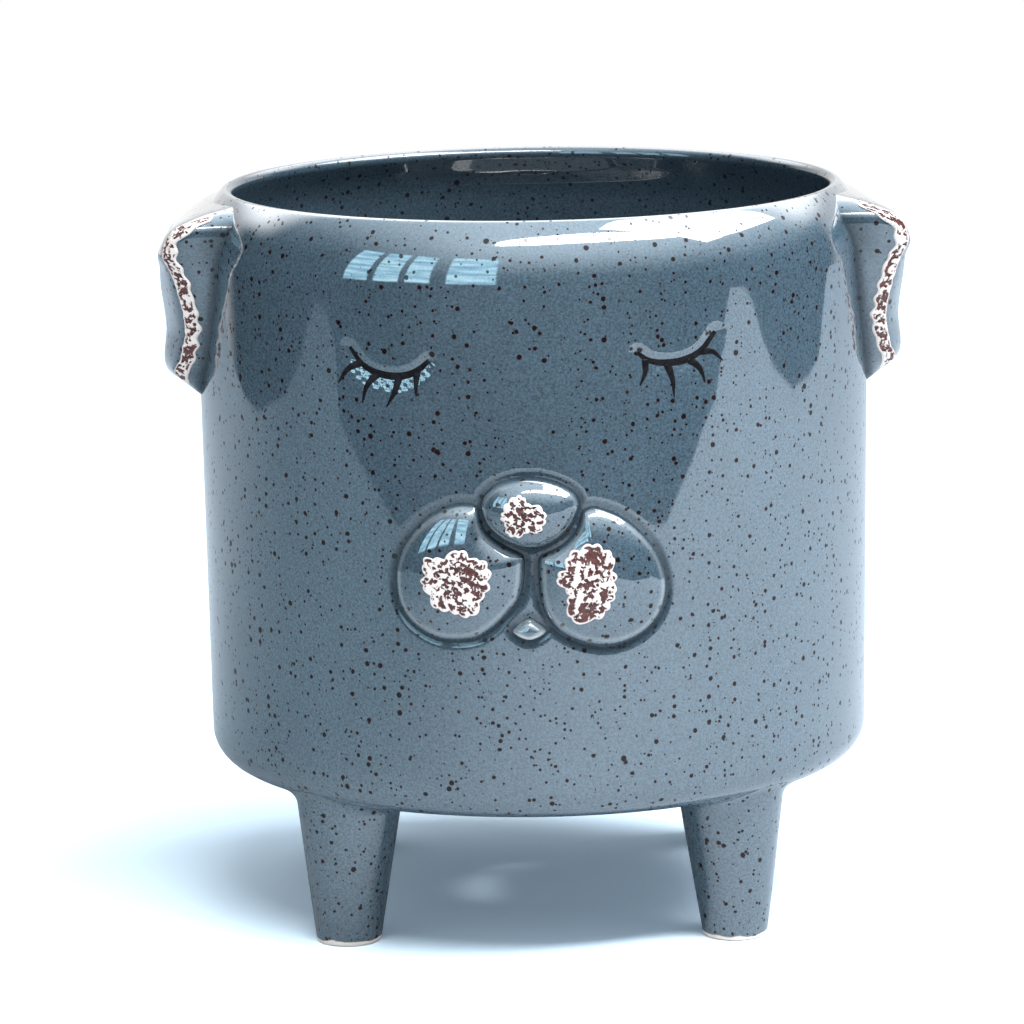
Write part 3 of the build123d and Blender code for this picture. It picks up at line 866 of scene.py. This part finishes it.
def glaze_material(glaze, specks, grain):
    """Glossy blue-grey glaze with iron specks, darker where it pools and where shade is painted, lighter where sheen is
    painted, wiped off the soles.
    """
    material, tree, shader = new_material("Speckled blue-grey glaze")
    coordinates = node(tree, "ShaderNodeTexCoord").outputs["Object"]
    colour, height, marks = glazed_colour(tree, specks, grain, glaze, coordinates)
    pool = node(tree, "ShaderNodeAttribute", attribute_name="pool").outputs["Fac"]
    pool_and_shade_share = math_node(tree, "MULTIPLY", pool, 0.7, clamp=True)
    # Darker where glaze pools, and painted shade laid on with the same colour
    colour = mix_colour(tree, pool_and_shade_share, colour, with_alpha(glaze.pool))
    painted_sheen = node(tree, "ShaderNodeAttribute", attribute_name="painted_sheen").outputs["Fac"]
    # Painted sheen: lighter colour where the pads' edges and the chin catch light
    colour = mix_colour(tree, painted_sheen, colour, with_alpha(glaze.sheen))
    place = node(tree, "ShaderNodeSeparateXYZ", {0: coordinates})
    ragged = node(tree, "ShaderNodeTexNoise", {"Vector": coordinates, "Scale": 220.0, "Detail": 3.0})
    ragged = math_node(tree, "MULTIPLY", ragged.outputs[0], 0.0016)
    level = math_node(tree, "SUBTRACT", place.outputs["Z"], ragged)
    bare = math_node(tree, "SUBTRACT", 1.0, ramp(tree, level, -0.03365, -0.0333))
    colour = mix_colour(tree, bare, colour, with_alpha(glaze.clay))
    tree.links.new(colour, shader.inputs["Base Color"])
    rough = math_node(tree, "ADD", 0.07, math_node(tree, "MULTIPLY", bare, 0.7))
    rough = math_node(tree, "ADD", rough, math_node(tree, "MULTIPLY", pool, 0.25))
    tree.links.new(rough, shader.inputs["Roughness"])
    coat = math_node(tree, "SUBTRACT", 1.0, bare)
    pool_and_shade_dulls = math_node(tree, "MULTIPLY", pool, 0.85, clamp=True)
    dull = math_node(tree, "MAXIMUM", pool_and_shade_dulls, math_node(tree, "MULTIPLY", marks, 0.9))
    coat = math_node(tree, "MULTIPLY", coat, math_node(tree, "SUBTRACT", 1.0, dull))
    tree.links.new(coat, shader.inputs["Coat Weight"])
    shader.inputs["Coat Roughness"].default_value = 0.03
    shader.inputs["Coat IOR"].default_value = 2.2
    shader.inputs["IOR"].default_value = 1.3
    bump = node(tree, "ShaderNodeBump", {"Height": height, "Strength": 0.10, "Distance": 0.0006})
    tree.links.new(bump.outputs[0], shader.inputs["Normal"])
    return material


def crawl_material(glaze):
    """White glaze in raised beads with red-brown ground between them."""
    material, tree, shader = new_material("Crawled white glaze")
    coordinates = node(tree, "ShaderNodeTexCoord").outputs["Object"]
    pit = node(tree, "ShaderNodeAttribute", attribute_name="pit").outputs["Fac"]
    patchy = node(tree, "ShaderNodeTexNoise", {"Vector": coordinates, "Scale": 900.0, "Detail": 4.0, "Roughness": 0.65})
    ground = ramp(tree, patchy.outputs[0], 0.35, 0.7)
    ground = mix_colour(tree, ground, with_alpha(glaze.pit), (0.17, 0.055, 0.05, 1))
    stain = ramp(tree, patchy.outputs[0], 0.60, 0.75)
    white = mix_colour(tree, stain, with_alpha(glaze.crawl), (0.62, 0.45, 0.43, 1))
    ring = math_node(tree, "MULTIPLY", ramp(tree, pit, 0.04, 0.40), 0.7)
    white = mix_colour(tree, ring, white, (0.50, 0.30, 0.28, 1))
    share = ramp(tree, pit, 0.34, 0.60)
    tree.links.new(mix_colour(tree, share, white, ground), shader.inputs["Base Color"])
    rough = math_node(tree, "ADD", 0.18, math_node(tree, "MULTIPLY", share, 0.35))
    tree.links.new(rough, shader.inputs["Roughness"])
    shader.inputs["Coat Weight"].default_value = 0.5
    shader.inputs["Coat Roughness"].default_value = 0.08
    bump = node(tree, "ShaderNodeBump", {"Height": patchy.outputs[0], "Strength": 0.35, "Distance": 0.0002})
    tree.links.new(bump.outputs[0], shader.inputs["Normal"])
    return material


def line_material(glaze):
    """Black glaze of the eye lines, slightly uneven."""
    material, tree, shader = new_material("Black line glaze")
    coordinates = node(tree, "ShaderNodeTexCoord").outputs["Object"]
    uneven = node(tree, "ShaderNodeTexNoise", {"Vector": coordinates, "Scale": 700.0, "Detail": 3.0})
    share = ramp(tree, uneven.outputs[0], 0.4, 0.75)
    colour = mix_colour(tree, share, with_alpha(glaze.line), (0.014, 0.014, 0.017, 1))
    tree.links.new(colour, shader.inputs["Base Color"])
    rough = math_node(tree, "ADD", 0.25, math_node(tree, "MULTIPLY", share, 0.2))
    tree.links.new(rough, shader.inputs["Roughness"])
    shader.inputs["Specular IOR Level"].default_value = 0.1
    return material


def materials():
    """The three finishes, made once."""
    if "Speckled blue-grey glaze" not in bpy.data.materials:
        glaze = bpy.context.scene.planter_glaze
        glaze_material(glaze, speck_group(), grain_group())
        crawl_material(glaze)
        line_material(glaze)
    names = ("Speckled blue-grey glaze", "Crawled white glaze", "Black line glaze")
    return [bpy.data.materials[name] for name in names]


# Operators


class PLANTER_OT_pot_body(bpy.types.Operator):
    """Makes the pot with its rim, face grooves and drain hole"""

    bl_idname = "planter.pot_body"
    bl_label = "Pot body"

    def execute(self, context):
        finish(make_pot_body(), "pot_body", materials()[0])
        return {"FINISHED"}


class PLANTER_OT_legs(bpy.types.Operator):
    """Glazes the four legs and leaves their soles bare"""

    bl_idname = "planter.legs"
    bl_label = "Legs"

    def execute(self, context):
        for name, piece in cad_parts.items():
            if name.startswith("leg_"):
                piece.data.materials.clear()
                piece.data.materials.append(materials()[0])
        return {"FINISHED"}


class PLANTER_OT_muzzle(bpy.types.Operator):
    """Makes the cheeks, nose and chin"""

    bl_idname = "planter.muzzle"
    bl_label = "Muzzle"

    def execute(self, context):
        for name in PADS:
            finish(make_pad(name), name, materials()[0])
        return {"FINISHED"}


class PLANTER_OT_muzzle_glaze(bpy.types.Operator):
    """Makes the crawled glaze on the cheeks and nose"""

    bl_idname = "planter.muzzle_glaze"
    bl_label = "Muzzle glaze"

    def execute(self, context):
        for name in PATCHES:
            finish(make_patch(name), name, materials()[1])
        return {"FINISHED"}


class PLANTER_OT_eyes(bpy.types.Operator):
    """Makes the lid lines and lashes of the closed eyes"""

    bl_idname = "planter.eyes"
    bl_label = "Eyes"

    def execute(self, context):
        for name in LIDS:
            finish(make_eye(name), name, materials()[2])
        return {"FINISHED"}


class PLANTER_OT_ears(bpy.types.Operator):
    """Makes the two ears"""

    bl_idname = "planter.ears"
    bl_label = "Ears"

    def execute(self, context):
        for side, name in ((-1, "ear_left"), (1, "ear_right")):
            finish(make_ear(side), name, materials()[0])
        return {"FINISHED"}


class PLANTER_OT_ear_glaze(bpy.types.Operator):
    """Makes the crawled glaze along the ears' edges"""

    bl_idname = "planter.ear_glaze"
    bl_label = "Ear glaze"

    def execute(self, context):
        for side, name in ((-1, "ear_texture_left"), (1, "ear_texture_right")):
            edges = [make_ear_edge(side, face) for face in (-1, 1)]
            finish(joined("planter_" + name, edges), name, materials()[1])
        return {"FINISHED"}


def add_lamp(name, shape, place, target, along, size, colour, power):
    """Soft area lamp that faces a point."""
    bpy.ops.object.light_add(type="AREA", location=place)
    lamp = bpy.context.object
    lamp.name = name
    lamp.data.shape = shape
    lamp.data.size, lamp.data.size_y = size
    lamp.data.energy = power
    lamp.data.color = colour
    back = (Vector(place) - Vector(target)).normalized()
    right = (Vector(along) - back * back.dot(Vector(along))).normalized()
    turn = Matrix((right, back.cross(right), back)).transposed()
    lamp.rotation_euler = turn.to_euler()


def make_sheet(stage):
    """White paper that the planter stands on: near in front, wide at the sides and far behind."""

    def place(u, v):
        turn = (2 * u - 1) * 180
        left = np.interp(-turn, *np.transpose(SHEET_LEFT))
        right = np.interp(turn, *np.transpose(SHEET_RIGHT))
        reach = np.where(turn < 0, left, right)
        reach = reach * stage.sheet_size * v
        turn = np.radians(turn)
        x, y = reach * np.sin(turn), -reach * np.cos(turn)
        return np.stack([x, y, np.full_like(x, -STAND * MM)], -1), {}

    sheet = rolled_grid("paper_sheet", 360, 8, place)
    if sheet.data.polygons[0].normal.z < 0:
        sheet.data.flip_normals()
    material, tree, shader = new_material("White paper")
    path = node(tree, "ShaderNodeLightPath")
    coordinates = node(tree, "ShaderNodeTexCoord").outputs["Object"]
    place = node(tree, "ShaderNodeSeparateXYZ", {0: coordinates})
    fibres = node(tree, "ShaderNodeTexNoise", {"Vector": coordinates, "Scale": 60.0, "Detail": 2.0})
    tone = mix_colour(tree, ramp(tree, fibres.outputs[0], 0.3, 0.7), (0.88, 0.885, 0.89, 1), (0.90, 0.905, 0.91, 1))
    # Painted shade in reflections: the paper the glaze reflects is darker to the left and in front, as if less lit
    # there
    to_right = ramp(tree, place.outputs["X"], -0.28, 0.07)
    to_back = ramp(tree, place.outputs["Y"], -0.05, 0.40)
    lit = math_node(tree, "MAXIMUM", to_right, to_back)
    shown = mix_colour(tree, lit, (0.18, 0.24, 0.28, 1), (0.46, 0.535, 0.61, 1))
    seen = mix_colour(tree, path.outputs["Is Glossy Ray"], tone, shown)
    seen = mix_colour(tree, path.outputs["Is Camera Ray"], seen, (1.15, 1.42, 1.62, 1))
    tree.links.new(seen, shader.inputs["Base Color"])
    shader.inputs["Roughness"].default_value = 0.9
    shader.inputs["Specular IOR Level"].default_value = 0.0
    sheet.data.materials.clear()
    sheet.data.materials.append(material)


def window_glow(tree, x, y, z, room):
    """Adds a row of bright window panes, low on the left in front, to what the glaze reflects."""
    turn = math_node(tree, "ARCTAN2", x, math_node(tree, "MULTIPLY", y, -1.0))
    turn = math_node(tree, "MULTIPLY", turn, 57.2958)
    rise = math_node(tree, "MULTIPLY", math_node(tree, "ARCSINE", z), 57.2958)
    row = between(tree, turn, (-68.0, -67.0), (-11.5, -12.5))
    height = between(tree, rise, (2.5, 4.5), (35.0, 33.5))
    post = between(tree, turn, (-35.0, -34.2), (-28.5, -29.3))
    bays = math_node(tree, "MINIMUM", math_node(tree, "ADD", turn, 33.0), -5.75)
    bays = math_node(tree, "FRACT", math_node(tree, "DIVIDE", bays, 11.5))
    bars = between(tree, bays, (0.08, 0.13), (0.92, 0.87))
    panes = math_node(tree, "MULTIPLY", row, height)
    panes = math_node(tree, "MULTIPLY", panes, math_node(tree, "SUBTRACT", 1.0, post))
    panes = math_node(tree, "MULTIPLY", panes, bars)
    across = math_node(tree, "MULTIPLY", turn, 0.06)
    place = node(tree, "ShaderNodeCombineXYZ", {0: across, 1: math_node(tree, "MULTIPLY", rise, 0.3)})
    sky = node(tree, "ShaderNodeTexNoise", {"Vector": place.outputs[0], "Scale": 1.0, "Detail": 3.0})
    cloud = ramp(tree, sky.outputs[0], 0.35, 0.65)
    return mix_colour(tree, panes, room, mix_colour(tree, cloud, (0.9, 1.9, 2.6, 1), (2.6, 4.0, 4.6, 1)))


def make_world():
    """White to the camera, plain light for the object, and a dim room in the glaze's reflections."""
    world = bpy.data.worlds.new("Studio")
    bpy.context.scene.world = world
    world.use_nodes = True
    tree = world.node_tree
    tree.nodes.clear()
    path = node(tree, "ShaderNodeLightPath")
    way = node(tree, "ShaderNodeTexCoord").outputs["Generated"]
    parts = node(tree, "ShaderNodeSeparateXYZ", {0: way})
    x, y, z = (parts.outputs[axis] for axis in "XYZ")
    sides = ramp(tree, math_node(tree, "ABSOLUTE", x), 0.55, 0.8)
    room = mix_colour(tree, sides, (0.09, 0.105, 0.12, 1), (0.01, 0.012, 0.016, 1))
    ceiling = math_node(tree, "MULTIPLY", ramp(tree, z, 0.14, 0.85), ramp(tree, x, -1.05, -0.05))
    room = mix_colour(tree, ceiling, room, (2.0, 2.4, 2.7, 1))
    sweep = math_node(tree, "MULTIPLY", ramp(tree, y, 0.25, 0.6), ramp(tree, z, 0.30, 0.55))
    room = mix_colour(tree, ramp(tree, y, 0.50, 0.66), room, (1.0, 1.0, 1.0, 1))
    room = mix_colour(tree, sweep, room, (4.0, 4.1, 4.2, 1))
    room = window_glow(tree, x, y, z, room)
    light = mix_colour(tree, path.outputs["Is Glossy Ray"], (0.50, 0.51, 0.53, 1), room)
    seen = mix_colour(tree, path.outputs["Is Camera Ray"], light, (1.0, 1.0, 1.0, 1))
    background = node(tree, "ShaderNodeBackground", {"Color": seen, "Strength": 1.0})
    output = node(tree, "ShaderNodeOutputWorld")
    tree.links.new(background.outputs[0], output.inputs["Surface"])


def make_camera(stage):
    """Camera at the photograph's viewpoint, a little above the rim and rolled by a degree."""
    pitch, yaw, roll = (math.radians(turn) for turn in CAMERA_TURNS)
    ahead = Vector((-math.sin(yaw) * math.cos(pitch), math.cos(yaw) * math.cos(pitch), -math.sin(pitch)))
    right = ahead.cross(Vector((0, 0, 1))).normalized()
    up = right.cross(ahead)
    bpy.ops.object.camera_add()
    camera = bpy.context.object
    camera.name = "Camera"
    turn = Matrix((right, up, -ahead)).transposed().to_4x4()
    camera.matrix_world = Matrix.Translation(CAMERA_PLACE) @ turn @ Matrix.Rotation(roll, 4, "Z")
    camera.data.sensor_width = 36
    camera.data.lens = stage.lens
    camera.data.clip_end = 20
    bpy.context.scene.camera = camera


class PLANTER_OT_stage(bpy.types.Operator):
    """Sets up the paper sheet, lamps, world and camera"""

    bl_idname = "planter.stage"
    bl_label = "Stage"

    def execute(self, context):
        stage = context.scene.planter_stage
        make_sheet(stage)
        make_world()
        for name, (*settings, share) in LAMPS.items():
            add_lamp(name, *settings, share * stage.key)
        make_camera(stage)
        context.scene.view_settings.view_transform = "Standard"
        return {"FINISHED"}


class PLANTER_PT_panel(bpy.types.Panel):
    """Lists the planter's pieces and finishes"""

    bl_idname = "PLANTER_PT_panel"
    bl_label = "Dog planter"
    bl_space_type = "VIEW_3D"
    bl_region_type = "UI"
    bl_category = "Planter"

    def draw(self, context):
        layout = self.layout
        for label in PlanterGlaze.__annotations__:
            layout.prop(context.scene.planter_glaze, label)
        for label in PlanterStage.__annotations__:
            layout.prop(context.scene.planter_stage, label)
        for operator in STEPS:
            layout.operator(operator.bl_idname)


STEPS = (
    PLANTER_OT_pot_body,
    PLANTER_OT_legs,
    PLANTER_OT_muzzle,
    PLANTER_OT_muzzle_glaze,
    PLANTER_OT_eyes,
    PLANTER_OT_ears,
    PLANTER_OT_ear_glaze,
    PLANTER_OT_stage,
)
CLASSES = (PlanterGlaze, PlanterStage, *STEPS, PLANTER_PT_panel)


def register():
    """Adds the classes and their settings."""
    for made in CLASSES:
        bpy.utils.register_class(made)
    bpy.types.Scene.planter_glaze = bpy.props.PointerProperty(type=PlanterGlaze)
    bpy.types.Scene.planter_stage = bpy.props.PointerProperty(type=PlanterStage)


def unregister():
    """Takes the classes and their settings away."""
    del bpy.types.Scene.planter_stage
    del bpy.types.Scene.planter_glaze
    for made in reversed(CLASSES):
        bpy.utils.unregister_class(made)


def main():
    """Registers the add-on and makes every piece."""
    register()
    for step in STEPS:
        group, name = step.bl_idname.split(".")
        getattr(getattr(bpy.ops, group), name)()


if __name__ == "__main__":
    main()
